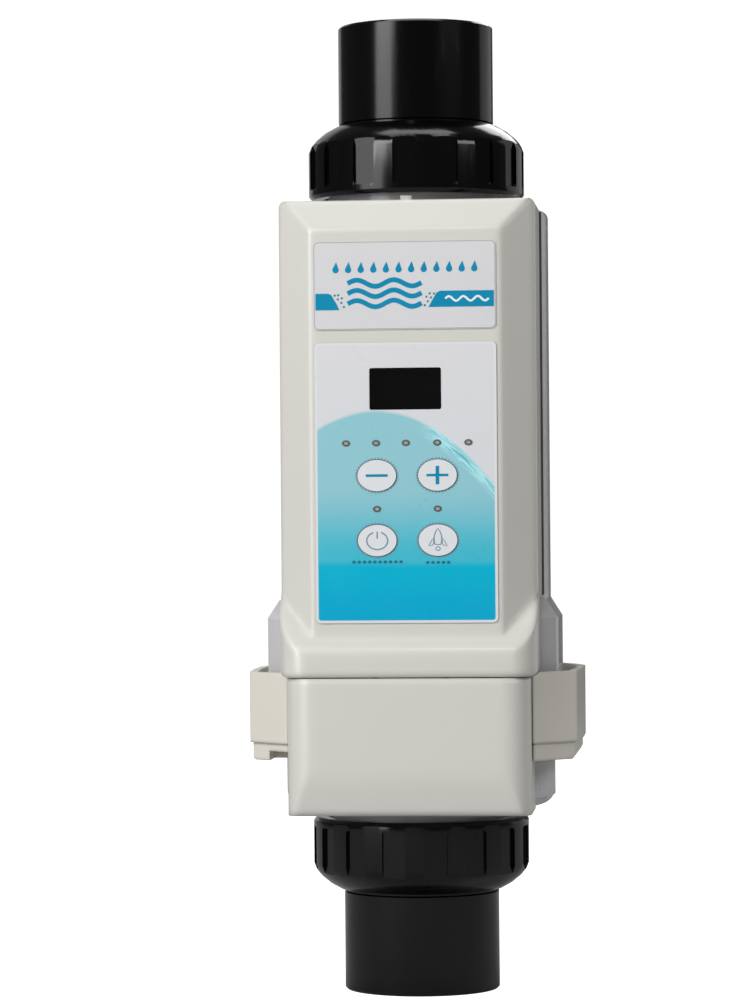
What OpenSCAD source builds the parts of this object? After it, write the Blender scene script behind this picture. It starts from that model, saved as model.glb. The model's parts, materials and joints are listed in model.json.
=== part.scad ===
// Inline salt chlorine generator: a clear D-section cell between two union couplings,
// with its electronics behind an ivory cover. Millimetres. Z runs up the pipe axis from
// the lower pipe end, the front faces -Y.

/* [Unions] */
// Outside diameter of the pipe spigots
spigot_od = 63; // [61:0.1:65]
// Bore that takes the pool pipe
socket_d = 50.3; // [48:0.1:51]
// Depth of the pipe socket
socket_depth = 31; // [26:1:36]
// Waterway bore
waterway_d = 45; // [40:1:46]
// Outside diameter of the union nuts
nut_od = 87.7; // [86:0.1:90]
// Height of a union nut
nut_h = 29.4; // [28:0.1:30]
// Height of the conical nut shoulder
nut_shoulder = 7.1; // [5:0.1:8]
// Grip recesses round each nut
grip_count = 16; // [12:1:20]
// Depth of a grip recess
grip_depth = 1.5; // [0.8:0.1:2]
// Major diameter of the neck thread
thread_d = 74.4; // [73:0.1:75]
// Thread pitch
thread_pitch = 2.309; // [2:0.001:3]

/* [Cell housing] */
// Height from pipe end to pipe end
total_h = 391.4; // [391:0.1:392]
// Level of the housing foot
cell_z0 = 75; // [74:0.1:76]
// Level of the housing top
cell_z1 = 315.6; // [315:0.1:316]
// Radius of the clear barrel
barrel_r = 53.5; // [53:0.1:54]
// Distance of the flat front wall from the axis
barrel_flat = 37.5; // [37:0.1:38]
// Wall thickness of the barrel
barrel_wall = 3.5; // [3:0.1:4]
// Radius of the seating flange
flange_r = 58.2; // [57.9:0.1:58.5]

/* [Front cover] */
// Half width of the cover
cover_hw = 50.8; // [50.4:0.1:51.2]
// Distance of the cover's front plane from the axis
cover_front = 65; // [64:0.1:66]
// Half width of the front plateau
plateau_hw = 37.3; // [37:0.1:38]
// Level of the cover's lower edge
cover_z0 = 129.4; // [129.2:0.1:129.6]
// Level of the cover's top
cover_z1 = 317; // [316.8:0.1:317.4]
// Moulding wall thickness
skin = 2.5; // [2.2:0.1:2.8]

/* [Lower cover and collar] */
// Half width of the lower cover
box_hw = 48; // [47.6:0.1:48.4]
// Distance of the lower cover's front from the axis
box_front = 69.2; // [68.8:0.1:69.6]
// Plan radius of the lower cover's corners
box_r = 11; // [9:0.5:12]
// Half width of the collar
collar_r = 68.1; // [67.6:0.1:68.6]
// Level of the collar's underside
collar_z0 = 95.6; // [95.2:0.1:96]
// Level of the collar's rim
collar_z1 = 130.6; // [130.2:0.1:131]

/* [Keypad] */
// Width of both labels
label_w = 71.6; // [70:0.1:72]
// Width of a key
key_w = 15.2; // [14:0.1:16]
// Height of a key
key_h = 12.3; // [11:0.1:13]
// Key travel
key_travel = 0.6; // [0.3:0.1:0.8]

/* [Electrodes] */
// Number of electrode plates
plate_count = 9; // [7:2:11]
// Spacing between plate centres
plate_gap = 6; // [5:0.5:6]
// Plate thickness
plate_t = 1; // [0.8:0.1:1.2]

/* [Hidden] */
$fn = 64;

spigot_r = spigot_od / 2;
nut_r = nut_od / 2;
thread_r = thread_d / 2;
low_nut_z1 = 70.4;
neck_end = 55;
face_gap = 0.3;
label_t = 0.4;
flow = waterway_d / 2;
bevel_side = atan(9 / 10.3);
shoulder_y = cover_front - (cover_hw - plateau_hw) * tan(bevel_side);
bevel_top = atan(9 / 11.9);
top_y = cover_front - (cover_z1 - 304.7) * tan(bevel_top);
board_front = 57.6;
tray_front = 43.6;
panel_front = cover_front - skin;
key_x = [-11.4, 12.4];
key_z = [208.3, 182.9];
led_at = [[-23.4, 221], [-11.6, 221], [0.1, 221], [12.4, 221], [24.6, 221],
  [-11.4, 195.2], [12.4, 195.2]];
stud_x = 14;
anode_z = 114;
cathode_z = 106;
plate_z0 = 122;
plate_z1 = 258;
pivot = [-29, 290];

ivory = [0.83, 0.82, 0.78];
smoke = [0.62, 0.61, 0.66, 0.45];
black = [0.06, 0.06, 0.065];
steel = [0.7, 0.7, 0.72];
titan = [0.5, 0.5, 0.53];
board = [0.05, 0.32, 0.16];
rubber = [0.1, 0.1, 0.1];

function dirv(v) = v / norm(v);
function half_angle(p, c, n) = acos(dirv(p - c) * dirv(n - c)) / 2;
function arc_centre(p, c, n, r) =
  c + dirv(dirv(p - c) + dirv(n - c)) * r / sin(half_angle(p, c, n));
function touch(p, c, n, r) =
  [for (q = [p, n]) c + dirv(q - c) * r / tan(half_angle(p, c, n))];
function oval(w, h, steps = 48) =
  [for (i = [0:steps - 1]) [w / 2 * cos(i * 360 / steps), h / 2 * sin(i * 360 / steps)]];

// Polygon with a true arc of radius rs[i] at each convex corner
module rounded(pts, rs) {
  n = len(pts);
  polygon([for (i = [0:n - 1])
    each touch(pts[(i + n - 1) % n], pts[i], pts[(i + 1) % n], rs[i])]);
  for (i = [0:n - 1]) if (rs[i] > 0)
    translate(arc_centre(pts[(i + n - 1) % n], pts[i], pts[(i + 1) % n], rs[i]))
      circle(r = rs[i]);
}
module rrect(x0, x1, y0, y1, r) {
  rounded([[x0, y0], [x1, y0], [x1, y1], [x0, y1]], [r, r, r, r]);
}
// Raises a drawing in X and Z out of the plane y = -y0, towards the front
module facing(y0, t) translate([0, -y0, 0]) rotate([90, 0, 0]) linear_extrude(t) children();
// Runs a drawing in Y and Z along X from -w to w
module along_x(w) translate([-w, 0, 0]) rotate([90, 0, 90]) linear_extrude(2 * w) children();
module bar(x0, x1, y0, y1, z0, z1) translate([x0, y0, z0]) cube([x1 - x0, y1 - y0, z1 - z0]);
module rod_y(x, z, r, y0, y1) translate([x, y1, z]) rotate([90, 0, 0]) cylinder(h = y1 - y0, r = r);
module d_plan(r, f) intersection() {
  circle(r = r, $fn = 96);
  translate([-r, -f]) square([2 * r, f + r]);
}
module d_bar(r, f, z0, z1) translate([0, 0, z0]) linear_extrude(z1 - z0) d_plan(r, f);
module screw(h, r, head_r, head_h) {
  cylinder(h = h, r = r);
  difference() {
    translate([0, 0, -head_h]) cylinder(h = head_h, r = head_r);
    for (a = [0, 90]) rotate(a) translate([-head_r * 0.55, -0.35, -head_h - 0.1])
      cube([head_r * 1.1, 0.7, head_h * 0.5]);
  }
}

// Parts of the water path
module upward(end) { // end 0 is the lower union, 1 the upper one turned over
  if (end == 0) children();
  else translate([0, 0, total_h]) mirror([0, 0, 1]) children();
}
module tailpiece() rotate_extrude($fn = 96) polygon([
  [socket_d / 2, 0], [spigot_r - 0.8, 0], [spigot_r, 0.8], [spigot_r, 39.5],
  [spigot_r - 0.6, 40.1], [spigot_r - 0.6, neck_end - 6.6], [37, neck_end - 6.2],
  [37, neck_end - face_gap],
  [flow, neck_end - face_gap], [flow, socket_depth], [socket_d / 2, socket_depth]]);
module nut(phase) {
  z1 = low_nut_z1;
  z0 = z1 - nut_h;
  zs = z0 + nut_shoulder;
  bore = thread_r + 0.4;
  zt = neck_end + 13.2;
  pitches = 5;
  difference() {
    rotate_extrude($fn = 96) polygon(concat(
      [[spigot_r + 0.5, z0], [spigot_r + 1.7, z0], [37.3, z0 + 2.3], [40.8, z0 + 5.2],
       [nut_r - 1, z0 + 7.7], [nut_r, z0 + 10.3], [nut_r, z1 - 1.7], [nut_r - 0.2, z1 - 1.3], [nut_r - 1.2, z1 - 0.2],
       [nut_r - 1.6, z1], [bore + 0.8, z1], [bore, z1 - 0.8]],
      [for (i = [0:pitches - 1]) each [[bore, zt - i * thread_pitch],
        [bore + 0.8, zt - (i + 0.3) * thread_pitch], [bore + 0.8, zt - (i + 0.6) * thread_pitch]]],
      [[bore, zt - 0.2 - (pitches - 0.1) * thread_pitch], [bore, zs],
       [spigot_r + 0.5, zs]]));
    for (i = [0:grip_count - 1]) rotate(i * 360 / grip_count + phase - 90)
      translate([nut_r - grip_depth, 0, 0]) rotate([90, 0, 90]) linear_extrude(6)
        rounded([[-4.7, z0 - 2], [4.7, z0 - 2], [4.7, z1 - 3.7], [-4.7, z1 - 3.7]], [0, 0, 1.4, 1.4]);
  }
}
module o_ring() rotate_extrude($fn = 96) translate([31, neck_end + 2.1]) circle(r = 2.1, $fn = 32);
module neck() rotate_extrude($fn = 96) polygon(concat(
  [[24, neck_end], [28.6, neck_end], [28.6, neck_end + 4.4], [33.4, neck_end + 4.4],
   [33.4, neck_end], [thread_r - 1.4, neck_end]],
  [for (i = [0:5]) each [[thread_r - 1.1, neck_end + 0.5 + i * thread_pitch],
    [thread_r, neck_end + 0.5 + (i + 0.35) * thread_pitch],
    [thread_r, neck_end + 0.5 + (i + 0.65) * thread_pitch],
    [thread_r - 1.1, neck_end + 0.4 + (i + 1) * thread_pitch]]],
  [[thread_r - 1.1, cell_z0 + 1.5], [24, cell_z0 + 1.5]]));

module top_tailpiece() color(black) upward(1) tailpiece();
module bottom_tailpiece() color(black) tailpiece();
module top_union_nut() color(black) upward(1) nut(-2);
module bottom_union_nut() color(black) nut(11.9);
module top_o_ring() color(rubber) upward(1) o_ring();
module bottom_o_ring() color(rubber) o_ring();

module flange_front(o) intersection() {
  hw = flange_r - 0.15 + o;
  f = barrel_flat + 6;
  translate([0, 0, 102 - o]) linear_extrude(60)
    rounded([[-hw, 0], [-hw, -f], [hw, -f], [hw, 0]], [0, 7 + o, 7 + o, 0]);
  facing(-1, 75) polygon([[-hw, 90], [hw, 90], [hw, 151.5 + o / 2], [hw - 4.7, 159 + o / 2],
    [4.7 - hw, 159 + o / 2], [-hw, 151.5 + o / 2]]);
}
module housing_form(o) intersection() {
  union() {
    rotate_extrude($fn = 96) rounded([[0, cell_z0], [54.6 + o, cell_z0], [54.6 + o, 102 - o],
      [flange_r + o, 102 - o], [flange_r + o, 151.5 + o / 2], [barrel_r + o, 159 + o / 2],
      [barrel_r + o, cell_z1], [0, cell_z1]], [0, 6, 0, 0.8, 2, 0, 3, 0]);
    flange_front(o);
  }
  along_x(65) polygon([[65, cell_z0 - 1], [-barrel_flat - 0.6 - o, cell_z0 - 1],
    [-barrel_flat - 0.6 - o, 102 - o], [-barrel_flat - 2.5 - o, 102 - o],
    [-barrel_flat - 2.5 - o, 151.5 + o / 2], [-barrel_flat - o, 159 + o / 2],
    [-barrel_flat - o, cell_z1 + 1], [65, cell_z1 + 1]]);
}
module cell_housing() color(smoke) {
  lug_x = 30;
  difference() {
    union() {
      housing_form(0);
      neck();
      upward(1) neck();
      for (x = [-28, 28], z = [172, 292]) rod_y(x, z, 4, -41.5, -barrel_flat + 1);
      for (s = [-1, 1]) bar(s * lug_x - 4.5, s * lug_x + 4.5, -47, -barrel_flat, 80, 92);
    }
    d_bar(barrel_r - barrel_wall, barrel_flat - barrel_wall, cell_z0 + 4, cell_z1 - 4);
    translate([0, 0, cell_z0 - 1]) cylinder(h = cell_z1 - cell_z0 + 2, r = 24);
    for (x = [-28, 28], z = [172, 292]) rod_y(x, z, 1.25, -42, -35.5);
    for (s = [-1, 1]) translate([s * lug_x, -43, 79]) cylinder(h = 11, r = 1.25);
    rod_y(-stud_x, anode_z, 3.1, -42, -30);
    rod_y(stud_x, cathode_z, 3.1, -42, -30);
    rod_y(0, 290, 4.6, -40, -30);
  }
}

module collar_plan(k) scale(k) intersection() {
  union() {
    circle(r = collar_r, $fn = 96);
    translate([-70, -60]) square([140, 48]);
  }
  polygon([[-66.9, 75], [66.9, 75], [66.9, -12], [65.2, -40], [46, -58],
    [-46, -58], [-65.2, -40], [-66.9, -12]]);
}
module collar() color(ivory) difference() {
  union() {
    intersection() {
      translate([0, 0, collar_z0]) linear_extrude(7.5) collar_plan(0.982);
      facing(-75, 150) polygon([[-63.2, collar_z0], [63.2, collar_z0], [66.2, collar_z0 + 3],
        [66.2, collar_z1], [-66.2, collar_z1], [-66.2, collar_z0 + 3]]);
    }
    translate([0, 0, collar_z0 + 7]) linear_extrude(collar_z1 - collar_z0 - 7) collar_plan(1);
  }
  translate([0, 0, 101.7]) linear_extrude(40) collar_plan(0.952);
  d_bar(55, barrel_flat + 1, 90, 110);
  bar(-box_hw - 0.3, box_hw + 0.3, -70, -20, 90, 140);
  bar(-56.6, -48.6, -60, -30, 94, 99.4);
  rod_y(0, 114, 7.2, 60, 75);
  facing(15, 60) rrect(-51.3, 51.3, 129.1, 150, 3.4);
}

module box_form(o, z1) intersection() {
  translate([0, 0, cell_z0 - 1]) linear_extrude(60)
    rounded([[o - box_hw, o - 20], [o - box_hw, o - box_front], [box_hw - o, o - box_front],
      [box_hw - o, o - 20]], [0, box_r - o, box_r - o, 0]);
  along_x(60) polygon([[0, cell_z0 + o], [-box_front + 4.6 + o, cell_z0 + o],
    [-box_front + 3.5 + o, cell_z0 + o + 0.4], [-box_front + 2.8 + o, cell_z0 + o + 1.6],
    [-box_front + 0.9 + o, 85.6], [-box_front + 0.3 + o, 89.6], [-box_front + o, 94],
    [-box_front + o, z1], [0, z1]]);
}
module lower_cover() color(ivory) difference() {
  box_form(0, cover_z0 - 0.4);
  box_form(skin, 140);
  bar(skin - box_hw, box_hw - skin, -30, 0, cell_z0 + skin, 140);
  d_bar(55, barrel_flat + 1, cell_z0 - 1, 101.6);
  bar(-60, 60, -barrel_flat - 2.9, 0, 101.5, 140);
  for (x = [-30, 30]) translate([x, -43, cell_z0 - 1]) cylinder(h = 5, r = 1.7);
  for (x = [-30, 30]) translate([x, -43, cell_z0 - 1]) cylinder(h = 2.4, r = 3.2);
}
module lower_cover_screws() color(steel) for (x = [-30, 30])
  translate([x, -43, cell_z0 + 1.4]) screw(11.5, 1.2, 2.8, 1.2);

// Front cover and what shows on it
module cover_form(o) {
  hw = cover_hw - o;
  ps = plateau_hw - o * tan(bevel_side / 2);
  sy = shoulder_y - o * tan(45 - bevel_side / 2);
  f = cover_front - o;
  ty = top_y - o * tan(45 - bevel_top / 2);
  tz = 304.7 - o * tan(bevel_top / 2);
  intersection() {
    translate([0, 0, 120]) linear_extrude(200)
      rounded([[-hw, 0], [-hw, -sy], [-ps, -f], [ps, -f], [hw, -sy], [hw, 0]],
        [0, 4 - o, 2 - o / 2, 2 - o / 2, 4 - o, 0]);
    along_x(60) rounded([[-f, cover_z0 + o], [-f, tz], [-ty, cover_z1 - o], [0, cover_z1 - o],
      [0, cover_z0 + o]], [0, 2 - o / 2, 2.5 - o / 2, 0, 0]);
    facing(-1, 70) rrect(-hw, hw, cover_z0 + o, cover_z1 - o, 3 - o);
  }
  // The band at the foot stands proud of the plateau
  intersection() {
    translate([0, 0, 120]) linear_extrude(60)
      rounded([[-hw, 0], [-hw, -box_front + o], [hw, -box_front + o], [hw, 0]],
        [0, box_r + 1 - o, box_r + 1 - o, 0]);
    along_x(60) rounded([[-box_front + o, cover_z0 + o], [-box_front + o, 139.6 - o / 3],
      [-40, 139.6 - o / 3 + (box_front - o - 40) * 1.34], [0, 170], [0, cover_z0 + o]],
      [0.8, 7 - o / 2, 0, 0, 0]);
    facing(-1, 80) rrect(-hw, hw, cover_z0 + o, 200, 3 - o);
  }
}
module keys_at() for (x = key_x, z = key_z) translate([x, z]) children();
module front_cover() color(ivory) {
  difference() {
    cover_form(0);
    cover_form(skin);
    d_bar(barrel_r + 0.5, barrel_flat + 0.7, 120, 320);
    housing_form(0.5);
    bar(-48, 48, -40, 5, 128, 131.9);
    facing(panel_front - 1, 5) keys_at() polygon(oval(key_w + 0.7, key_h + 0.7));
    for (p = led_at) rod_y(p[0], p[1], 1.7, -cover_front - 1, -panel_front + 1);
    facing(panel_front - 1, 5) rrect(-14.1, 14.1, 234, 250.4, 0.8);
    bar(-20, 20, -52, -41.7, 125, 134);
    for (x = [-33, 33]) translate([x, -49, 125]) cylinder(h = 10, r = 1.8);
  }
  bar(-2.2, 2.2, -54.5, -52, cover_z1 - 1, cover_z1 + 1.6);
  for (x = [-29, 29], z = [160, 292]) difference() {
    rod_y(x, z, 2.6, -panel_front - 0.5, -board_front);
    rod_y(x, z, 1.15, -61.2, -57);
  }
}
module cover_gasket() color(rubber) intersection() {
  difference() {
    translate([0, 0, 160.2]) cylinder(h = 154.2, r = barrel_r + 0.42, $fn = 96);
    translate([0, 0, 120]) cylinder(h = 200, r = barrel_r + 0.08, $fn = 96);
  }
  union() for (s = [-1, 1]) bar(s * 49.6 - 1.9, s * 49.6 + 1.9, -26, -13, 120, 320);
}
module cover_screws() color(steel) for (x = [-33, 33])
  translate([x, -49, cover_z0 - 0.1]) screw(7, 1.2, 2.6, 1.4);

module name_label() color([0.85, 0.86, 0.88]) facing(cover_front, label_t)
  rrect(-label_w / 2, label_w / 2, 265.4, 300, 2.2);
module keypad_overlay() color([0.3, 0.72, 0.85]) facing(cover_front, label_t) difference() {
  rrect(-label_w / 2, label_w / 2, 150.5, 260.5, 2.2);
  keys_at() polygon(oval(key_w + 0.5, key_h + 0.5));
  for (p = led_at) translate(p) polygon(oval(3, 2.3, 24));
  rrect(-14.1, 14.1, 234, 250.4, 0.8);
}
module display_window() color([0.02, 0.02, 0.02])
  facing(panel_front + 0.1, skin + label_t) rrect(-14, 14, 234.1, 250.3, 0.7);
module led_lenses() color([0.6, 0.62, 0.62])
  facing(panel_front, skin + label_t + 0.1) for (p = led_at) translate(p) polygon(oval(2.9, 2.15, 24));

module key(i, j) color([0.93, 0.94, 0.95]) translate([key_x[i], 0, key_z[j]]) {
  facing(panel_front - 0.3, skin + 1.2) polygon(oval(key_w, key_h));
  facing(panel_front - 1.3, 1.1) polygon(oval(key_w + 2, key_h + 2));
  rod_y(0, 0, 1.8, 1 - panel_front - 0.4, 1.7 - panel_front);
}
module plunger(i, j) color([0.15, 0.15, 0.16])
  rod_y(key_x[i], key_z[j], 1.6, 1.75 - panel_front, -board_front - 0.95);
module minus_button() key(0, 0);
module plus_button() key(1, 0);
module standby_button() key(0, 1);
module boost_button() key(1, 1);
module minus_plunger() plunger(0, 0);
module plus_plunger() plunger(1, 0);
module standby_plunger() plunger(0, 1);
module boost_plunger() plunger(1, 1);

// Electronics between the tray and the cover
module mounting_tray() color([0.3, 0.31, 0.33]) difference() {
  union() {
    bar(-47.9, 47.9, -tray_front, -41.6, 132.3, 314);
    bar(-40, 40, -53, -tray_front + 0.1, 132.3, 136.3);
  }
  bar(-19.5, 19.5, -51.6, -41, 131, 140);
  for (x = [-28, 28], z = [172, 292]) rod_y(x, z, 1.5, -45, -41);
  for (x = [-33, 33]) translate([x, -49, 131]) cylinder(h = 7, r = 1.25);
  rod_y(0, 290, 4.6, -45, -41);
  for (x = [-26, 26], z = [154, 256]) rod_y(x, z, 1.05, -45, -41);
}
module tray_screws() color(steel) for (x = [-28, 28], z = [172, 292])
  translate([x, -tray_front, z]) rotate([-90, 0, 0]) screw(6.5, 1.2, 2.6, 1.4);
module power_standoffs() color(steel) for (x = [-26, 26], z = [154, 256]) difference() {
  rod_y(x, z, 2.6, -46.6, -tray_front);
  rod_y(x, z, 1.05, -47, -43);
}
module power_board() color(board) difference() {
  facing(46.6, 1.6) rrect(-32, 32, 148, 262, 1.5);
  for (x = [-26, 26], z = [154, 256]) rod_y(x, z, 1.25, -49, -46);
  for (x = [-28, 28]) rod_y(x, 172, 3.4, -49, -46);
}
module power_board_screws() color(steel) for (x = [-26, 26], z = [154, 256])
  translate([x, -48.2, z]) rotate([-90, 0, 0]) screw(6.4, 1, 2.2, 1.3);
module heat_sink() color([0.72, 0.73, 0.75]) {
  bar(-22, 6, -50, -48.2, 222, 250);
  for (i = [0:6]) bar(-22 + i * 4.4, -20.4 + i * 4.4, -55.2, -49.9, 222, 250);
}
module capacitors() color([0.1, 0.12, 0.2]) for (p = [[14, 242, 4], [24, 242, 4], [14, 230, 4],
  [24, 230, 3.2], [-22, 210, 3.2]]) rod_y(p[0], p[1], p[2], -54.4, -48.2);
module power_relay() color([0.08, 0.09, 0.1]) bar(8, 27, -55.2, -48.2, 200, 215);
module transformer() color([0.2, 0.19, 0.17]) {
  bar(-14, 4, -54.8, -48.2, 196, 216);
  bar(-17, 7, -53.8, -49.6, 200, 212);
}
module ribbon_cable() color([0.6, 0.6, 0.62]) translate([-8, 0, 0]) along_x(8) polygon([
  [-48.25, 165], [-48.25, 151.5], [-52, 148.2], [-55.6, 151.5], [-55.6, 165],
  [-55.1, 165], [-55.1, 151.7], [-52, 149], [-48.75, 151.7], [-48.75, 165]]);
module terminal_block() color([0.1, 0.35, 0.2]) difference() {
  bar(-37, -20.4, -50, -barrel_flat - 2.5, 103, 113);
  for (i = [0:2]) rod_y(-34 + i * 5.3, 109.5, 1.7, -51, -46.5);
  for (i = [0:2]) translate([-34 + i * 5.3, -45, 102]) cylinder(h = 5, r = 1.8);
}
module control_board() color(board) difference() {
  facing(board_front - 1.6, 1.6) rrect(-34, 34, 152, 300, 1.5);
  for (x = [-29, 29], z = [160, 292]) rod_y(x, z, 1.25, -60, -55);
}
module control_posts() color([0.75, 0.72, 0.6]) for (x = [-29, 29], z = [160, 292])
  difference() {
    rod_y(x, z, 2.4, 1.6 - board_front, 3 - board_front);
    rod_y(x, z, 1.25, -60, -54);
  }
module control_board_screws() color(steel) for (x = [-29, 29], z = [160, 292])
  translate([x, 3 - board_front, z]) rotate([90, 0, 0]) screw(6.2, 1.1, 2.2, 1.3);
module display_module() color([0.12, 0.12, 0.13])
  facing(board_front, panel_front - board_front) rrect(-17, 17, 231.5, 253, 0.6);
module tact_switches() color([0.75, 0.76, 0.78]) for (x = key_x, z = key_z) difference() {
  bar(x - 3, x + 3, -board_front - 2.3, -board_front, z - 3, z + 3);
  rod_y(x, z, 1.75, -board_front - 3, -board_front - 0.2);
}
module status_leds() color([0.8, 0.82, 0.8]) for (p = led_at)
  bar(p[0] - 1, p[0] + 1, -panel_front, -board_front, p[1] - 0.9, p[1] + 0.9);

// Electrode pack
function plate_x(i) = (i - (plate_count - 1) / 2) * plate_gap;
module plates(first, tab_y, foot) for (i = [first:2:plate_count - 1]) {
  x = plate_x(i);
  bar(x - plate_t / 2, x + plate_t / 2, -24, 28, plate_z0, plate_z1);
  bar(x - plate_t / 2, x + plate_t / 2, tab_y - 4, tab_y + 4, foot, plate_z0 + 0.5);
}
module anode_plates() color([0.13, 0.13, 0.14]) plates(1, -18, anode_z + 3);
module cathode_plates() color(titan) plates(0, 20, cathode_z + 3);
module stud(x, z, y1) {
  rod_y(x, z, 3, -50.5, y1);
}
module anode_busbar() color(titan) {
  bar(-20, 20, -20, -16, anode_z - 3, anode_z + 3);
  stud(-stud_x, anode_z, -18);
}
module cathode_busbar() color(titan) {
  bar(-26, 26, 18, 22, cathode_z - 3, cathode_z + 3);
  stud(stud_x, cathode_z, 20);
}
module comb(z, slot_z) color([0.86, 0.86, 0.84]) difference() {
  union() {
    difference() {
      d_bar(barrel_r - barrel_wall - 0.2, barrel_flat - barrel_wall - 0.2, z, z + 5);
      d_bar(barrel_r - barrel_wall - 3.4, barrel_flat - barrel_wall - 3.4, z - 1, z + 6);
    }
    for (y = [-8, 10]) intersection() {
      d_bar(barrel_r - barrel_wall - 1, barrel_flat - barrel_wall - 1, z, z + 5);
      bar(-50, 50, y - 2.5, y + 2.5, z - 1, z + 6);
    }
  }
  for (i = [0:plate_count - 1]) bar(plate_x(i) - plate_t / 2 - 0.1, plate_x(i) + plate_t / 2 + 0.1,
    -20, 25, slot_z, slot_z + 3);
}
module upper_plate_comb() comb(plate_z1 - 2.4, plate_z1 - 2.9);
module lower_plate_comb() comb(plate_z0 - 2.6, plate_z0 - 0.1);
module each_stud() {
  translate([-stud_x, 0, anode_z]) children();
  translate([stud_x, 0, cathode_z]) children();
}
module stud_seals() color(rubber) each_stud() difference() {
  rod_y(0, 0, 6, -42.2, -barrel_flat - 2.5);
  rod_y(0, 0, 3.1, -43, -39);
}
module stud_nuts() color(steel) each_stud() difference() {
  translate([0, -42.3, 0]) rotate([90, 0, 0]) linear_extrude(3.2) circle(r = 5.6, $fn = 6);
  rod_y(0, 0, 3.1, -46, -42);
}
module electrode_leads() color([0.55, 0.08, 0.07]) for (p = [[-stud_x, anode_z], [stud_x, cathode_z]]) {
  difference() {
    union() {
      rod_y(p[0], p[1], 5.2, -46.8, -45.7);
      bar(p[0] - 2, p[0] + 2, -46.8, -45.7, p[1], p[1] + 9);
    }
    rod_y(p[0], p[1], 3.1, -48, -45);
  }
  translate([p[0], -47.1, p[1] + 7]) cylinder(h = 147.4 - p[1] - 7, r = 1.3);
}

// Flow switch
module flow_switch_body() color([0.16, 0.16, 0.17]) difference() {
  union() {
    bar(-12, 12, pivot[0] - 4.9, pivot[0] - 2.2, 280, 300);
    for (s = [-1, 1]) bar(s * 10 - 2, s * 10 + 2, pivot[0] - 2.3, pivot[0] + 3, 286, 294);
    rod_y(0, 290, 4.4, -43, pivot[0] - 4.8);
  }
  translate([-13, pivot[0], pivot[1]]) rotate([0, 90, 0]) cylinder(h = 26, r = 1.3);
}
module paddle_pin() color(steel)
  translate([-12, pivot[0], pivot[1]]) rotate([0, 90, 0]) cylinder(h = 24, r = 1.2);
module flow_paddle() color([0.88, 0.88, 0.86]) difference() {
  union() {
    translate([-7.4, pivot[0], pivot[1]]) rotate([0, 90, 0]) cylinder(h = 14.8, r = 2);
    bar(-7, 7, pivot[0], pivot[0] + 34, pivot[1] - 0.8, pivot[1] + 0.8);
    rod_z(pivot[0] + 8, pivot[1] - 1.6, 3.2, 3.2);
  }
  translate([-13, pivot[0], pivot[1]]) rotate([0, 90, 0]) cylinder(h = 26, r = 1.25);
  rod_z(pivot[0] + 8, pivot[1] - 1.7, 2.05, 3.4);
}
module rod_z(y, z, r, h) translate([0, y, z]) cylinder(h = h, r = r);
module paddle_magnet() color(steel) rod_z(pivot[0] + 8, pivot[1] - 1.5, 2, 3);

// Power lead entry at the back of the collar
module gland_form(r, y0, y1) translate([0, y1, 114]) rotate([90, 0, 0])
  cylinder(h = y1 - y0, r = r);
module gland_hex(af, y0, y1) translate([0, y1, 114]) rotate([90, 0, 0])
  linear_extrude(y1 - y0) circle(r = af / 2 / cos(30), $fn = 6);
module cable_gland() color(black) difference() {
  union() {
    gland_form(7, 60, 69);
    gland_hex(19, 68.3, 73);
    gland_form(7, 72, 80);
  }
  gland_form(4.6, 59, 74);
  gland_form(5.6, 73, 81);
}
module gland_locknut() color(black) difference() {
  gland_hex(17, 60.4, 63.8);
  gland_form(7.05, 60, 65);
}
module gland_seal() color(rubber) difference() {
  gland_form(5.5, 73.1, 81.9);
  gland_form(3.6, 72, 82);
}
module gland_cap() color(black) difference() {
  union() {
    gland_hex(19, 73.3, 81.5);
    gland_form(8.6, 81, 84);
  }
  gland_form(7.1, 73, 82);
  gland_form(4.6, 81, 85);
}
module rating_label() color([0.8, 0.8, 0.81]) translate([0, 0, 79])
  rotate(-41) rotate_extrude(angle = 69, $fn = 96) translate([54.62, 0]) square([0.2, 14]);

cell_housing();
top_o_ring();
bottom_o_ring();
top_tailpiece();
bottom_tailpiece();
top_union_nut();
bottom_union_nut();
collar();
lower_cover();
lower_cover_screws();
front_cover();
cover_gasket();
cover_screws();
name_label();
keypad_overlay();
display_window();
minus_button();
plus_button();
standby_button();
boost_button();
minus_plunger();
plus_plunger();
standby_plunger();
boost_plunger();
led_lenses();
mounting_tray();
tray_screws();
control_board();
control_board_screws();
control_posts();
display_module();
tact_switches();
status_leds();
power_board();
power_board_screws();
power_standoffs();
heat_sink();
capacitors();
power_relay();
transformer();
ribbon_cable();
anode_plates();
cathode_plates();
upper_plate_comb();
lower_plate_comb();
anode_busbar();
cathode_busbar();
stud_seals();
stud_nuts();
electrode_leads();
terminal_block();
flow_switch_body();
flow_paddle();
paddle_magnet();
paddle_pin();
cable_gland();
gland_cap();
gland_locknut();
gland_seal();
rating_label();
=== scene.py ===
"""Looks for an inline salt chlorine generator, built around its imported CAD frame."""
import json
import math

import bmesh
import bpy
from mathutils import Matrix, Vector


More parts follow.
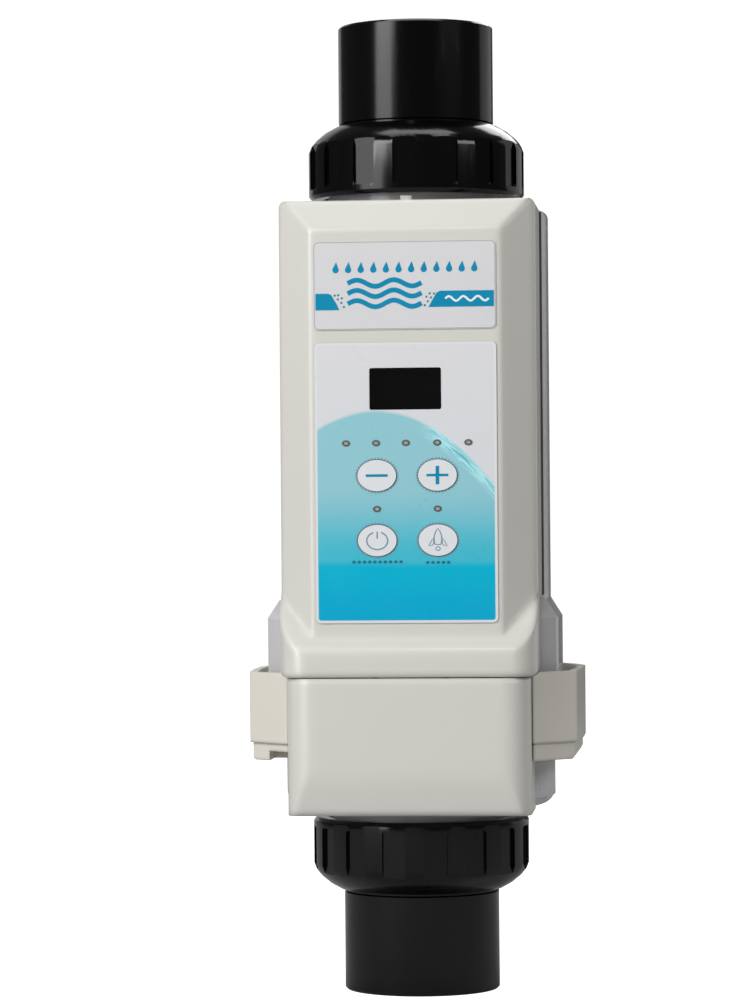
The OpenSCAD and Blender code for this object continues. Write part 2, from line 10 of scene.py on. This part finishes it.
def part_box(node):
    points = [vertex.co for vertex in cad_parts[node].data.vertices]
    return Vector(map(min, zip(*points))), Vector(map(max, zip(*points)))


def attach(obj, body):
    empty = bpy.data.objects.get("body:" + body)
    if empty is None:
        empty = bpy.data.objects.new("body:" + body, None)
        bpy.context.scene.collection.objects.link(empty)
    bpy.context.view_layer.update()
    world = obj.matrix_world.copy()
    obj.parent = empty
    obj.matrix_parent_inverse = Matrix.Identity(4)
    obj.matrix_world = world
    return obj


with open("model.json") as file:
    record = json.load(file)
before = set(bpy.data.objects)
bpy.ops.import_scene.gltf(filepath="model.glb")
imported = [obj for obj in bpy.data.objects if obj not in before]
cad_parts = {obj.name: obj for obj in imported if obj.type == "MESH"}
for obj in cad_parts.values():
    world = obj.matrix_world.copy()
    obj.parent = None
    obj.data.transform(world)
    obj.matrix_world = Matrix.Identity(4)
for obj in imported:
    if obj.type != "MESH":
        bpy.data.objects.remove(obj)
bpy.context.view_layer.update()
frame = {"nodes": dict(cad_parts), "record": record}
NODES = frame["nodes"]
MM = 0.001

# The relief of mould textures and of the films, in metres.
GRAIN_DEPTH = 0.00002
FILM_GRAIN_DEPTH = 0.00001

# The specular level of films, inks and the display window; an ordinary surface has the second one.
FILM_SHEEN = 0.3
PLAIN_SHEEN = 0.5

# The thickness of the ink and the corner radius of the two labels, in millimetres.
INK_THICKNESS = 0.07
LABEL_CORNER = 2.2

# Each key's node and its body, and where the lamps are in X and Z, in millimetres.
KEYS = {
    "minus_button": "minus_key",
    "plus_button": "plus_key",
    "standby_button": "standby_key",
    "boost_button": "boost_key",
}
LAMPS = ((-23.4, 221), (-11.6, 221), (0.1, 221), (12.4, 221), (24.6, 221), (-11.4, 195.2), (12.4, 195.2))


# ---------------------------------------------------------------- material tools
class Shader:
    """A node material with a Principled surface, and short calls that add nodes to it."""

    def __init__(self, name):
        self.material = bpy.data.materials.new(name)
        self.material.use_nodes = True
        self.tree = self.material.node_tree
        self.surface = self.tree.nodes["Principled BSDF"]
        self.coords = self.add("ShaderNodeTexCoord").outputs["Object"]

    def add(self, kind, settings=None, **inputs):
        """Adds a node; inputs by socket name or number take values or other nodes' outputs."""
        node = self.tree.nodes.new(kind)
        for key, value in (settings or {}).items():
            setattr(node, key, value)
        for key, value in inputs.items():
            numbered = key[0] == "n" and key[1:].isdigit()
            self.feed(node.inputs[int(key[1:])] if numbered else node.inputs[key], value)
        return node

    def feed(self, socket, value):
        if isinstance(value, bpy.types.NodeSocket):
            self.tree.links.new(value, socket)
        else:
            socket.default_value = value

    def set(self, **inputs):
        """Feeds the Principled surface's sockets, named with underscores for spaces."""
        for key, value in inputs.items():
            self.feed(self.surface.inputs[key.replace("_", " ")], value)

    def math(self, operation, a, b=0.0):
        return self.add("ShaderNodeMath", {"operation": operation}, n0=a, n1=b).outputs[0]

    def noise(self, scale, detail=3.0, coords=None):
        where = coords or self.coords
        node = self.add("ShaderNodeTexNoise", Vector=where, Scale=scale, Detail=detail, Roughness=0.55)
        return node.outputs["Fac"]

    def ranged(self, value, low, high, from_low=0.3, from_high=0.7):
        """value, mapped to low..high."""
        node = self.add("ShaderNodeMapRange", Value=value)
        return self.spans(node, (from_low, from_high, low, high))

    def spans(self, node, numbers):
        """Sets a Map Range node's four ends and returns what it gives."""
        for key, number in zip(("From Min", "From Max", "To Min", "To Max"), numbers):
            node.inputs[key].default_value = number
        return node.outputs["Result"]

    def mix(self, share, a, b):
        node = self.add("ShaderNodeMix", {"data_type": "RGBA"})
        self.feed(node.inputs[0], share)
        for socket, value in ((node.inputs[6], a), (node.inputs[7], b)):
            self.feed(socket, value if isinstance(value, bpy.types.NodeSocket) else (*value, 1.0))
        return node.outputs[2]

    def step(self, value, start, end):
        """0 at start, 1 at end, smooth between."""
        node = self.add("ShaderNodeMapRange", {"interpolation_type": "SMOOTHSTEP"}, Value=value)
        if start < end:
            return self.spans(node, (start, end, 0.0, 1.0))
        return self.spans(node, (end, start, 1.0, 0.0))

    def window(self, value, start, full, fade, end):
        """1 between full and fade, falling to 0 at start and end."""
        return self.math("MULTIPLY", self.step(value, start, full), self.step(value, end, fade))

    def millimetres(self, axis):
        split = self.add("ShaderNodeSeparateXYZ", Vector=self.coords)
        return self.math("MULTIPLY", split.outputs[axis], 1.0 / MM)

    def swept(self, across, along):
        """Coordinates for streaks that run along one measure and are fine across the other."""
        fine, long = self.math("MULTIPLY", across, 0.9), self.math("MULTIPLY", along, 0.07)
        return self.add("ShaderNodeCombineXYZ", X=fine, Y=long).outputs[0]

    def rim(self, node, radius):
        """Signed distance in millimetres from a label's rounded edge, negative inside."""
        low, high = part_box(node)
        half_mm = 0.5 / MM
        gaps = []
        for axis, i in (("X", 0), ("Z", 2)):
            centre, half = (low[i] + high[i]) * half_mm, (high[i] - low[i]) * half_mm
            offset = self.math("ABSOLUTE", self.math("SUBTRACT", self.millimetres(axis), centre))
            gaps.append(self.math("SUBTRACT", offset, half - radius))
        outside = [self.math("MAXIMUM", g, 0.0) for g in gaps]
        squares = [self.math("MULTIPLY", g, g) for g in outside]
        corner = self.math("SQRT", self.math("ADD", *squares))
        inside = self.math("MINIMUM", self.math("MAXIMUM", *gaps), 0.0)
        return self.math("SUBTRACT", self.math("ADD", corner, inside), radius)

    def bump(self, height, strength, distance, **more):
        """Fine relief of the given depth in metres."""
        node = self.add("ShaderNodeBump", Height=height, Strength=strength, Distance=distance, **more)
        self.set(Normal=node.outputs["Normal"])

    def stretched(self, x, y, z):
        """Object coordinates scaled along each axis, for grain that runs one way."""
        return self.add("ShaderNodeMapping", Vector=self.coords, Scale=(x, y, z)).outputs[0]


def plastic(name, colour, shade, roughness, grain, spread=0.06, **more):
    """Moulded plastic: faint cloudy colour, gloss that varies, and a fine spark-eroded grain."""
    s = Shader(name)
    cloud = s.noise(14.0, 4.0)
    s.set(
        Base_Color=s.mix(s.ranged(cloud, 0.0, 1.0), colour, shade),
        Roughness=s.ranged(s.noise(60.0), roughness - spread, roughness + spread),
        **more,
    )
    s.bump(s.noise(grain, 2.0), 0.25, GRAIN_DEPTH)
    return s.material


def metal(name, colour, roughness, stretch):
    """Brushed or turned metal with its grain along one axis."""
    s = Shader(name)
    grain = s.noise(1.0, 4.0, s.stretched(*stretch))
    s.set(
        Base_Color=s.mix(s.ranged(grain, 0.0, 0.6), colour, tuple(c * 0.7 for c in colour)),
        Metallic=1.0,
        Roughness=s.ranged(grain, roughness - 0.08, roughness + 0.12),
    )
    s.bump(grain, 0.3, GRAIN_DEPTH)
    return s.material


def ivory(name, colour, shade, edge):
    """Mould-textured ivory plastic under a soft sheen, with a little dust in its grain.

    The edge, in millimetres, is how far its corners are shaded as if they were rounded.
    """
    s = Shader(name)
    cloud = s.noise(9.0, 5.0)
    dust = s.ranged(s.noise(260.0, 2.0), 0.0, 1.0, 0.62, 0.8)
    body = s.mix(s.ranged(cloud, 0.0, 1.0), colour, shade)
    s.set(
        Base_Color=s.mix(s.math("MULTIPLY", dust, 0.15), body, (0.56, 0.545, 0.49)),
        Roughness=s.ranged(s.noise(45.0), 0.3, 0.38),
        Coat_Weight=0.6,
        Coat_Roughness=0.17,
    )
    soft = s.add("ShaderNodeBevel", {"samples": 8}, Radius=edge * MM)
    s.bump(s.noise(2600.0, 2.0), 0.12, GRAIN_DEPTH, Normal=soft.outputs["Normal"])
    return s.material


def black_pvc():
    """Glossy black pipe plastic with faint flow lines and scuffs along the pipe."""
    s = Shader("black_pvc")
    flow = s.noise(1.0, 4.0, s.stretched(30.0, 30.0, 5.0))
    scuff = s.ranged(s.noise(1.0, 6.0, s.stretched(420.0, 420.0, 60.0)), 0.0, 1.0, 0.6, 0.75)
    s.set(
        Base_Color=s.mix(s.ranged(flow, 0.0, 1.0), (0.0007, 0.0007, 0.0009), (0.0015, 0.0014, 0.0018)),
        Roughness=s.math("ADD", s.ranged(flow, 0.12, 0.18), s.math("MULTIPLY", scuff, 0.08)),
        IOR=1.42,
    )
    s.bump(flow, 0.2, 0.0002)
    return s.material


def smoky_clear():
    """Smoky clear plastic, painted paler from the heavy seating flange down: painted light against the
    shade that the collar and cover cast there.
    """
    s = Shader("smoky_clear_plastic")
    haze = s.noise(12.0, 4.0)
    wall = s.mix(s.ranged(haze, 0.0, 1.0), (0.7, 0.69, 0.72), (0.62, 0.61, 0.645))
    flange_top, flange_full = 164.0, 150.0
    # Painted light: the colour turns paler from the flange down, where the collar and cover shade the
    # housing.
    painted_light_below_flange = s.step(s.millimetres("Z"), flange_top, flange_full)
    s.set(
        Base_Color=s.mix(painted_light_below_flange, wall, (0.84, 0.825, 0.85)),
        Roughness=s.ranged(haze, 0.12, 0.22),
        Transmission_Weight=0.4,
        IOR=1.49,
    )
    s.bump(s.noise(35.0, 3.0), 0.12, 0.0003)
    return s.material


MATERIALS = {
    "clear_housing": smoky_clear(),
    "black_gloss": black_pvc(),
    "ivory_plastic": ivory("ivory_moulding", (0.632, 0.622, 0.577), (0.61, 0.599, 0.552), 4.4),
    # The collar's ivory is warmer, and painted lighter than the cover's to make up for the shade on its
    # sides.
    "collar": ivory("ivory_collar_brightened", (0.675, 0.652, 0.583), (0.65, 0.626, 0.556), 2.0),
    "key_white": plastic("key_white", (0.70, 0.72, 0.74), (0.68, 0.70, 0.72), 0.36, 900.0),
    "window_black": plastic(
        "window_black",
        (0.002, 0.002, 0.0022),
        (0.004, 0.004, 0.004),
        0.08,
        300.0,
        spread=0.02,
        Specular_IOR_Level=FILM_SHEEN,
    ),
    "lens_grey": plastic("lens_grey", (0.36, 0.39, 0.38), (0.3, 0.33, 0.32), 0.2, 700.0),
    "seal_rubber": plastic("seal_rubber", (0.012, 0.012, 0.012), (0.02, 0.02, 0.02), 0.62, 1500.0),
    "screw_steel": metal("screw_steel", (0.56, 0.56, 0.58), 0.3, (900.0, 900.0, 60.0)),
    "tray_plastic": plastic("tray_plastic", (0.035, 0.036, 0.04), (0.045, 0.046, 0.05), 0.5, 1800.0),
    "board_green": plastic("board_green", (0.01, 0.11, 0.04), (0.014, 0.14, 0.055), 0.3, 1200.0),
    "module_black": plastic("module_black", (0.014, 0.014, 0.016), (0.02, 0.02, 0.022), 0.45, 1500.0),
    "led_clear": plastic("led_clear", (0.6, 0.63, 0.6), (0.5, 0.53, 0.5), 0.2, 500.0),
    "sink_metal": metal("sink_metal", (0.62, 0.63, 0.65), 0.35, (60.0, 60.0, 900.0)),
    "capacitor_case": plastic("capacitor_case", (0.012, 0.02, 0.06), (0.018, 0.026, 0.07), 0.28, 1000.0),
    "core_ferrite": plastic("core_ferrite", (0.03, 0.026, 0.022), (0.045, 0.04, 0.034), 0.55, 1400.0),
    "ribbon_grey": plastic("ribbon_grey", (0.27, 0.27, 0.29), (0.3, 0.3, 0.32), 0.45, 1000.0),
    "post_brass": metal("post_brass", (0.66, 0.49, 0.2), 0.28, (900.0, 900.0, 60.0)),
    "anode_coating": plastic("anode_coating", (0.03, 0.03, 0.033), (0.045, 0.045, 0.05), 0.6, 2600.0),
    "titanium": metal("titanium", (0.36, 0.35, 0.36), 0.38, (500.0, 500.0, 40.0)),
    "comb_plastic": plastic("comb_plastic", (0.62, 0.61, 0.56), (0.66, 0.65, 0.6), 0.45, 1500.0),
    "lead_red": plastic("lead_red", (0.24, 0.012, 0.01), (0.3, 0.018, 0.014), 0.42, 1500.0),
    "block_green": plastic("block_green", (0.014, 0.13, 0.045), (0.02, 0.16, 0.06), 0.42, 1500.0),
    "rating_film": plastic("rating_film", (0.52, 0.52, 0.54), (0.48, 0.48, 0.5), 0.3, 900.0),
}


def film_finish(s, colour, smooth, rough):
    """The satin surface of a printed film."""
    gloss = s.ranged(s.noise(60.0), smooth, rough)
    s.set(Base_Color=colour, Roughness=gloss, Specular_IOR_Level=FILM_SHEEN)
    s.bump(s.noise(900.0, 2.0), 0.15, FILM_GRAIN_DEPTH)
    return s.material


def name_film():
    """Pale film with a thin darker line just inside its rounded edge, painted shade along the label's edge.
    """
    s = Shader("name_film")
    rim = s.rim("name_label", LABEL_CORNER)
    # The line is painted shade along the label's edge.
    line = s.math("MULTIPLY", s.step(rim, -0.55, -0.4), s.step(rim, -0.1, -0.22))
    cloud = s.noise(20.0, 3.0)
    ground = s.mix(s.ranged(cloud, 0.0, 1.0), (0.645, 0.645, 0.66), (0.62, 0.62, 0.635))
    return film_finish(s, s.mix(line, ground, (0.36, 0.355, 0.35)), 0.27, 0.36)


def keypad_film():
    """A wave: pale above, cyan below its crest, deep blue at the foot, inside an unprinted rim.

    Light and dark streaks follow the crest's right side. A thin dark line at the very edge is painted
    shade.
    """
    s = Shader("keypad_film")
    x, z = s.millimetres("X"), s.millimetres("Z")
    waver = 2.2
    drift = s.math("MULTIPLY", s.math("SUBTRACT", s.noise(26.0, 3.0), 0.5), waver)
    crest_top, crest_left, crest_curve = 233.5, 12.0, 0.0135
    lean = s.math("ADD", x, crest_left)
    fall = s.math("MULTIPLY", s.math("MULTIPLY", lean, lean), crest_curve)
    crest = s.math("SUBTRACT", crest_top, fall)
    under = s.math("SUBTRACT", crest, z)
    cyan_top, cyan_foot = 206.0, 176.0
    deep_top, deep_foot = 174.0, 150.0
    pale_top, pale_foot = 262.0, 228.0
    cyan = s.mix(s.step(z, cyan_top, cyan_foot), (0.27, 0.545, 0.605), (0.055, 0.46, 0.585))
    deep = s.mix(s.step(z, deep_top, deep_foot), (0.0, 0.42, 0.605), (0.0, 0.36, 0.585))
    water = s.mix(s.step(s.math("ADD", z, drift), 175.5, 172.0), cyan, deep)
    pale = s.mix(s.step(z, pale_top, pale_foot), (0.66, 0.66, 0.675), (0.645, 0.66, 0.68))
    art = s.mix(s.step(s.math("ADD", under, drift), -0.6, 1.2), pale, water)
    grain = s.noise(1.0, 4.0, s.swept(under, x))
    band = s.math("MULTIPLY", s.step(x, 4.0, 15.0), s.window(under, -1.2, 0.6, 3.8, 7.0))
    art = s.mix(s.math("MULTIPLY", band, s.step(grain, 0.40, 0.50)), art, (0.42, 0.76, 0.80))
    art = s.mix(s.math("MULTIPLY", band, s.step(grain, 0.53, 0.60)), art, (0.035, 0.40, 0.50))
    rim = s.rim("keypad_overlay", LABEL_CORNER)
    art = s.mix(s.step(rim, -1.25, -0.95), art, (0.69, 0.7, 0.71))
    # A thin dark line at the very edge: painted shade along the film's edge.
    art = s.mix(s.step(rim, -0.18, -0.08), art, (0.42, 0.42, 0.41))
    return film_finish(s, art, 0.26, 0.35)


def printing_ink(name, slot, colour, shade, roughness=0.34, sheen=FILM_SHEEN):
    """The slot listed with this ink, which no print is given, and the ink's material."""
    return slot, plastic(name, colour, shade, roughness, 900.0, Specular_IOR_Level=sheen)


MATERIALS["label_film"] = name_film()
MATERIALS["keypad_film"] = keypad_film()
INK = {
    "ink_teal": printing_ink("ink_teal", "label_film", (0.0, 0.215, 0.385), (0.002, 0.25, 0.425)),
    "ink_dark_teal": printing_ink("ink_dark_teal", "label_film", (0.015, 0.15, 0.21), (0.02, 0.19, 0.26)),
    "ink_white": printing_ink("ink_white", "key_white", (0.78, 0.81, 0.83), (0.72, 0.76, 0.79)),
    "ink_slate": printing_ink("ink_slate", "key_white", (0.17, 0.28, 0.36), (0.22, 0.33, 0.42)),
    "ink_grey": printing_ink(
        "ink_grey", "lens_grey", (0.085, 0.085, 0.08), (0.12, 0.12, 0.11), 0.3, PLAIN_SHEEN
    ),
}


def dress_cad():
    """Gives every CAD node its own material or its slot's, and the moulded ones a small edge radius."""
    for part in frame["record"]["subparts"]:
        shown = NODES[part["node"]]
        for socket in shown.material_slots:
            socket.material = MATERIALS.get(part["node"], MATERIALS[part["material_slot"]])
    for name, width in SOFT_EDGES.items():
        soften(NODES[name], width * MM)


def soften(shown, width):
    """Rounds the sharp edges of a CAD node, as a mould does."""
    weld = shown.modifiers.new("weld", "WELD")
    weld.merge_threshold = 1e-6
    flat = shown.modifiers.new("flat", "DECIMATE")
    flat.decimate_type, flat.angle_limit = "DISSOLVE", math.radians(0.3)
    bevel = shown.modifiers.new("edge", "BEVEL")
    bevel.offset_type, bevel.width, bevel.segments = "WIDTH", width, 3
    bevel.limit_method, bevel.angle_limit, bevel.use_clamp_overlap = "ANGLE", math.radians(30.0), True
    shade = shown.modifiers.new("shade", "WEIGHTED_NORMAL")
    shade.mode, shade.weight, shade.keep_sharp = "FACE_AREA", 50, True


SOFT_EDGES = {
    "top_union_nut": 0.6,
    "bottom_union_nut": 0.6,
    "front_cover": 0.9,
    "lower_cover": 0.7,
    "collar": 0.8,
    "cable_gland": 0.4,
    "gland_cap": 0.4,
}
dress_cad()


# ---------------------------------------------------------------- printed signs
def oval_points(cx, cz, rx, rz, steps, start=0.0, sweep=360.0):
    """Points round an oval, or along part of it."""
    count = steps if sweep >= 360.0 else steps + 1
    angles = (math.radians(start + sweep * i / steps) for i in range(count))
    return [(cx + rx * math.cos(a), cz + rz * math.sin(a)) for a in angles]


def stroke(points, width, closed=False):
    """The two sides of a line of the given width."""
    n = len(points)
    sides = ([], [])
    for i, here in enumerate(points):
        before = points[i - 1] if i or closed else here
        after = points[(i + 1) % n] if i < n - 1 or closed else here
        run = Vector((after[0] - before[0], after[1] - before[1])).normalized() * (width / 2.0)
        sides[0].append((here[0] - run.y, here[1] + run.x))
        sides[1].append((here[0] + run.y, here[1] - run.x))
    return sides


def ripple_line(left, width, level, rise, waves, steps):
    """Points along a sine wave that starts at the left."""
    turn = math.tau * waves
    return [(left + width * i / steps, level + rise * math.sin(turn * i / steps)) for i in range(steps + 1)]


class Print:
    """Thin raised ink on the face y = -front, drawn in millimetres of X and Z."""

    def __init__(self, front, thickness=INK_THICKNESS):
        self.mesh = bmesh.new()
        overlap = 0.02
        self.back, self.face = -(front - overlap) * MM, -(front + thickness) * MM

    def loop(self, points, y):
        return [self.mesh.verts.new((x * MM, y, z * MM)) for x, z in points]

    def patch(self, points):
        """A filled polygon without holes."""
        near, far = self.loop(points, self.face), self.loop(points, self.back)
        self.mesh.faces.new(near)
        self.mesh.faces.new(far[::-1])
        self.walls(near, far)

    def walls(self, near, far, closed=True):
        """The faces between two loops."""
        for i in range(len(near) - (not closed)):
            j = (i + 1) % len(near)
            self.mesh.faces.new((near[i], far[i], far[j], near[j]))

    def ring(self, outer, inner, closed=True):
        """The band between two loops, or two sides of a line, with the same number of points."""
        face, back = self.loop(outer, self.face), self.loop(outer, self.back)
        face_in, back_in = self.loop(inner, self.face), self.loop(inner, self.back)
        for a, b in ((face, face_in), (back_in, back), (back, face), (face_in, back_in)):
            self.walls(a, b, closed)
        if not closed:
            for i in (0, -1):
                self.mesh.faces.new((face[i], back[i], back_in[i], face_in[i]))

    def line(self, points, width, closed=False):
        self.ring(*stroke(points, width, closed), closed)

    def finish(self, name, ink, body="cell"):
        many_sided = [face for face in self.mesh.faces if len(face.verts) > 4]
        bmesh.ops.triangulate(self.mesh, faces=many_sided)
        bmesh.ops.recalc_face_normals(self.mesh, faces=self.mesh.faces)
        mesh = bpy.data.meshes.new(name)
        self.mesh.to_mesh(mesh)
        self.mesh.free()
        piece = bpy.data.objects.new(name, mesh)
        bpy.context.collection.objects.link(piece)
        slot, material = INK[ink]
        mesh.materials.append(material)
        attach(piece, body)


def middle(node):
    """The middle of a node's box in X and Z, in millimetres."""
    low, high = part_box(node)
    return (low[0] + high[0]) / 2.0 / MM, (low[2] + high[2]) / 2.0 / MM


def front_of(node):
    """How far a node's front stands out from the pipe axis, in millimetres."""
    return -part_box(node)[0][1] / MM


def name_label_print():
    """Two slanted bands, three waves and loose dots between them, and a row of drops above.

    A white ripple lies on the right band.
    """
    film = front_of("name_label")
    art = Print(film)
    left_slope = [(-25.6, 273.2), (-26.6, 275.4), (-28.8, 279.2), (-30.0, 279.7)]
    art.patch([(-35.0, 273.2), *left_slope, (-35.0, 279.7)])
    right_slope = [(9.4, 274.0), (10.6, 276.2), (12.6, 279.6), (14.0, 280.3)]
    art.patch([(35.0, 274.0), *right_slope, (35.0, 280.3)])
    for level in (275.6, 279.6, 283.6):
        art.line(ripple_line(-22.3, 29.0, level, 1.25, 2.0, 48), 1.9)
    drops, first_drop, drop_pitch, drop_level, drop_radius = 12, -27.0, 4.95, 288.9, 1.25
    for i in range(drops):
        x, z = first_drop + i * drop_pitch, drop_level
        round_part = oval_points(x, z, drop_radius, drop_radius, 16, 150.0, 240.0)
        art.patch(round_part + [(x + 0.25, z + 3.1)])
    art.finish("name_label_print", "ink_teal")
    dots = Print(film)
    left_dots = [(-27.4, 278.9), (-26.2, 277.4), (-26.0, 279.0)]
    left_dots += [(-24.8, 276.0), (-24.6, 277.8), (-23.8, 274.4)]
    right_dots = [(11.6, 279.2), (10.4, 277.7), (9.9, 279.3), (9.1, 276.2), (8.6, 278.0), (7.9, 274.7)]
    for x, z in left_dots + right_dots:
        dots.patch([(x - 0.4, z - 0.35), (x + 0.35, z - 0.35), (x + 0.4, z + 0.4), (x - 0.35, z + 0.4)])
    dots.finish("name_label_dots", "ink_dark_teal")
    ripple = Print(film + INK_THICKNESS)
    ripple.line(ripple_line(16.0, 17.0, 277.2, 0.9, 3.0, 40), 0.85)
    ripple.finish("name_label_ripple", "ink_white")


def key_rings():
    """The dashed slate border round each key, and the dots under the lower two."""
    film = front_of("keypad_overlay")
    border, caption = Print(film), Print(film)
    dashes, path_x, path_z = 38, 8.15, 6.75
    outer_x, outer_z = 8.4, 7.0
    dash = ((-0.42, -0.26), (0.42, -0.26), (0.3, 0.3), (-0.3, 0.3))
    for name in KEYS:
        cx, cz = middle(name)
        for i in range(dashes):
            a = math.tau * i / dashes
            out = Vector((math.cos(a) / outer_x, math.sin(a) / outer_z)).normalized()
            at = Vector((cx + path_x * math.cos(a), cz + path_z * math.sin(a)))
            along = Vector((-out.y, out.x))
            border.patch([tuple(at + along * u + out * v) for u, v in dash])
    dot_pitch, dot_x, dot_z = 2.05, 0.72, 0.62
    for name, count, drop in (("standby_button", 10, 8.4), ("boost_button", 5, 8.7)):
        cx, cz = middle(name)
        for i in range(count):
            x = cx + (i - (count - 1) / 2.0) * dot_pitch
            caption.patch(oval_points(x, cz - drop, dot_x, dot_z, 12))
    border.finish("key_borders", "ink_slate")
    caption.finish("key_caption_dots", "ink_dark_teal")


def key_signs():
    """Minus, plus, power and boost signs, each on its own key."""
    broad, middling, thin = 0.55, 0.42, 0.36
    for name, body in KEYS.items():
        cx, cz = middle(name)
        sign = Print(front_of(name))
        ink = "ink_teal"
        if name in ("minus_button", "plus_button"):
            bars = [(4.3, -0.5, 0.5)]
            if name == "plus_button":
                bars += [(0.7, 0.5, 3.6), (0.7, -3.6, -0.5)]
            for half, low, high in bars:
                corners = ((-half, low), (half, low), (half, high), (-half, high))
                sign.patch([(cx + x, cz + z) for x, z in corners])
        elif name == "standby_button":
            ink = "ink_slate"
            sign.line(oval_points(cx, cz - 0.1, 4.1, 3.45, 44, 112.0, 316.0), broad)
            sign.line([(cx, cz + 3.5), (cx, cz + 0.7)], broad)
        else:
            ink = "ink_slate"
            hull = [(0.0, 4.5), (0.9, 3.3), (1.45, 1.6), (1.5, 0.0), (1.1, -1.7), (-1.1, -1.7), (-1.5, 0.0)]
            hull += [(-1.45, 1.6), (-0.9, 3.3)]
            sign.line([(cx + x, cz + z) for x, z in hull], middling, closed=True)
            for side in (-1, 1):
                fin = [(1.75, 0.9), (2.7, -0.5), (3.6, -2.2), (2.3, -2.0), (1.65, -1.3)]
                sign.line([(cx + side * x, cz + z) for x, z in fin], thin, closed=True)
            sign.line(oval_points(cx, cz - 3.3, 0.85, 0.75, 18), thin, closed=True)
        sign.finish(name.replace("button", "sign"), ink, body)


def indicator_rings():
    """The dark oval ring printed round each lamp lens."""
    ring_thickness = 0.05
    rings = Print(front_of("led_lenses"), ring_thickness)
    for x, z in LAMPS:
        rings.ring(oval_points(x, z, 1.62, 1.24, 28), oval_points(x, z, 0.82, 0.6, 28))
    rings.finish("indicator_rings", "ink_grey")


name_label_print()
key_rings()
key_signs()
indicator_rings()


# ---------------------------------------------------------------- stage
def area_light(name, azimuth, elevation, distance, width, height, radiance, aim=(0.0, 0.0, 0.2)):
    """A soft box at the given bearing from the front, positive to the right, and turned to the aim."""
    turn, rise = math.radians(azimuth), math.radians(elevation)
    out = Vector((math.sin(turn) * math.cos(rise), -math.cos(turn) * math.cos(rise), math.sin(rise)))
    data = bpy.data.lights.new(name, "AREA")
    data.shape, data.size, data.size_y = "RECTANGLE", width, height
    data.energy = radiance * math.pi * width * height
    lamp = bpy.data.objects.new(name, data)
    lamp.location = Vector(aim) + out * distance
    lamp.rotation_euler = (-out).to_track_quat("-Z", "Y").to_euler()
    lamp.visible_camera = False
    bpy.context.collection.objects.link(lamp)


def studio():
    """A soft box on the upper left over a dimmer one that the gloss mirrors, and more on the other sides.

    Each light says its bearing and elevation in degrees, distance and size in metres, and radiance.
    The world is a pale backdrop to the camera and a faint fill to everything else.
    """
    area_light("key", -40.0, 28.0, 1.8, 0.9, 0.9, 9.9)
    area_light("gloss", -44.0, 5.0, 1.8, 0.8, 0.6, 3.5)
    area_light("ridge_gloss", -5.0, 46.0, 1.8, 0.2, 0.5, 6.5)
    area_light("right_fill", 57.0, 27.0, 1.8, 1.0, 0.6, 5.3)
    area_light("overhead", 180.0, 86.0, 1.4, 1.0, 0.45, 3.3, (0.0, 0.0, 0.33))
    area_light("right_back", 137.0, 4.0, 1.6, 1.2, 2.0, 0.42)
    area_light("left_back", -160.0, 4.0, 1.6, 1.0, 2.0, 0.45)
    area_light("back_fill", 170.0, 34.0, 1.8, 1.0, 0.8, 3.4)
    world = bpy.data.worlds.new("studio")
    world.use_nodes = True
    tree = world.node_tree
    seen = tree.nodes.new("ShaderNodeLightPath").outputs["Is Camera Ray"]
    level = tree.nodes.new("ShaderNodeMapRange")
    fill, backdrop = 0.075, 1.05
    level.inputs["To Min"].default_value, level.inputs["To Max"].default_value = fill, backdrop
    tree.links.new(seen, level.inputs["Value"])
    tree.nodes["Background"].inputs["Color"].default_value = (1.0, 1.0, 1.0, 1.0)
    tree.links.new(level.outputs["Result"], tree.nodes["Background"].inputs["Strength"])
    bpy.context.scene.world = world
    bpy.context.scene.view_settings.view_transform = "Standard"


def floor():
    """The plain pale floor, a wide disc under the lower pipe end."""
    mesh = bpy.data.meshes.new("floor")
    radius, level, steps = 3.0, -0.0001, 64
    points = [(0.0, 0.0, level)]
    for i in range(steps):
        angle = math.tau * i / steps
        points.append((radius * math.cos(angle), radius * math.sin(angle), level))
    mesh.from_pydata(points, [], [(0, i + 1, (i + 1) % steps + 1) for i in range(steps)])
    ground = bpy.data.objects.new("floor", mesh)
    bpy.context.collection.objects.link(ground)
    s = Shader("floor_white")
    s.set(Base_Color=(0.38, 0.38, 0.38, 1.0), Roughness=1.0, Emission_Color=(1.0, 1.0, 1.0, 1.0))
    seen = s.add("ShaderNodeLightPath").outputs["Is Camera Ray"]
    s.set(Emission_Strength=s.math("MULTIPLY", seen, 1.1))
    mesh.materials.append(s.material)


def camera():
    """Level with the middle of the cell, a little to its right, with the long lens of a product shot."""
    turn, distance, height = math.radians(4.4), 1.54, 0.196
    place = Vector((distance * math.sin(turn), -distance * math.cos(turn), height))
    right = Vector((math.cos(turn), math.sin(turn), 0.0))
    aim_above, aim_left = 0.0029, 0.0218
    aim = Vector((0.0, 0.0, height + aim_above)) - right * aim_left
    data = bpy.data.cameras.new("camera")
    data.lens, data.sensor_width = 135.8, 36.0
    data.clip_start, data.clip_end = 0.05, 20.0
    view = bpy.data.objects.new("camera", data)
    view.location = place
    roll = Matrix.Rotation(math.radians(-0.46), 4, "Z")
    view.rotation_euler = ((aim - place).to_track_quat("-Z", "Y").to_matrix().to_4x4() @ roll).to_euler()
    bpy.context.collection.objects.link(view)
    bpy.context.scene.camera = view


studio()
floor()
camera()
